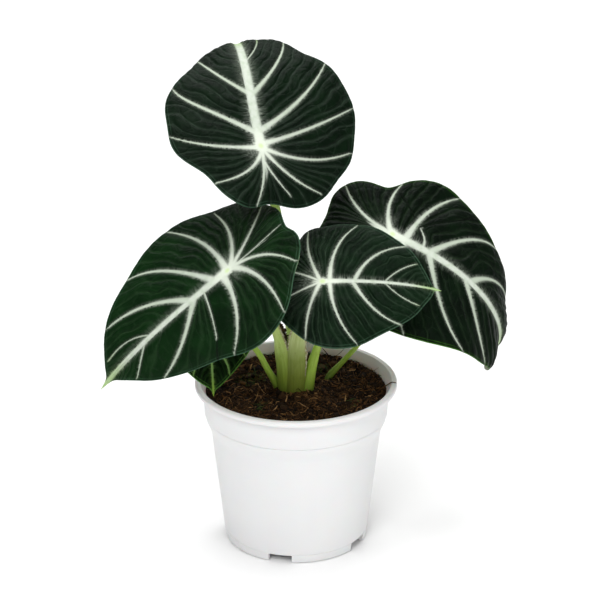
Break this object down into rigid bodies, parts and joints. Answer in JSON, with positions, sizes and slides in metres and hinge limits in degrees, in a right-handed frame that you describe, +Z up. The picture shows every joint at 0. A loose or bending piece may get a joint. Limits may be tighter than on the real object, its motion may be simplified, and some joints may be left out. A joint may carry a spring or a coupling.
{
  "type": "potted alocasia plant",
  "caption": "Live houseplant with large shield-shaped, near-black leaves and silvery veins on pale green stalks, growing in soil in a round stepped white nursery pot.",
  "frame": {"origin": "Under the middle of the whole plant's bounding box, on the surface that the pot stands on. The pot's own axis stands at x = -7.0 mm, y = -18.6 mm.", "axes": "+Z is up, -Y is the front that the plant shows, and +X is to the right as seen from the front."},
  "size_m": [0.2412, 0.176, 0.2815],
  "materials": {
    "pot_plastic": "smooth, faintly satin white polypropylene",
    "soil": "moist, coarse coir and peat fibre",
    "rhizome": "dull, scarred corky skin",
    "petiole": "smooth, waxy, slightly translucent green stalk",
    "leaf_blade": "velvety satin, near-black green with silvery-white veins",
    "young_leaf_blade": "satin dark green with pale green veins"
  },
  "bodies": {
    "root": {"pot": "pot_plastic", "soil": "soil", "rhizome": "rhizome", "petiole_top": "petiole", "petiole_left": "petiole", "petiole_middle": "petiole", "petiole_right": "petiole", "petiole_small": "petiole", "petiole_offset": "petiole", "leaf_top": "leaf_blade", "leaf_left": "leaf_blade", "leaf_middle": "leaf_blade", "leaf_right": "leaf_blade", "leaf_small": "young_leaf_blade", "leaf_offset": "young_leaf_blade"}
  },
  "joints": []
}
